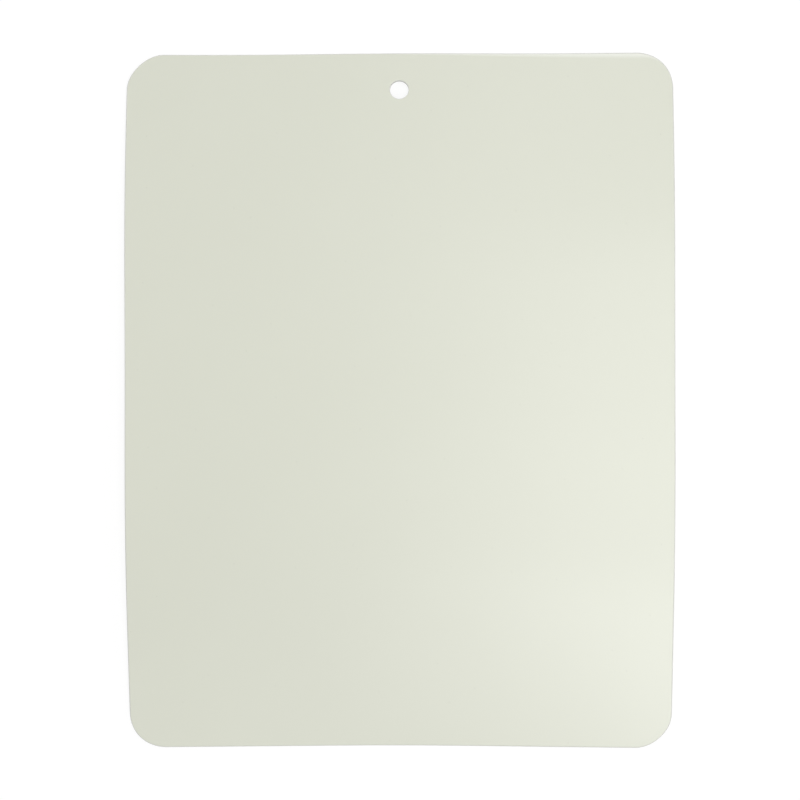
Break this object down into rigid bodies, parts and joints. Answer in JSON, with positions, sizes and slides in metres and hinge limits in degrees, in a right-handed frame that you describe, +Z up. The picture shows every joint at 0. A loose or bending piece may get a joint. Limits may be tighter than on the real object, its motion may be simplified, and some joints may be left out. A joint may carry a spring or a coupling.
{
  "type": "flexible cutting mat",
  "caption": "Thin flexible plastic cutting mat with rounded corners and a hanging hole, lying on a counter as a low arch.",
  "frame": {"origin": "on the counter, under the middle of the mat, half way between the front and rear lines on which it stands", "axes": "+X across the mat, +Y along the mat towards the hanging hole, +Z up from the counter"},
  "size_m": [0.28, 0.3579, 0.0208],
  "materials": {
    "mat_plastic": "satin"
  },
  "bodies": {
    "root": {"cutting_mat": "mat_plastic"}
  },
  "joints": []
}
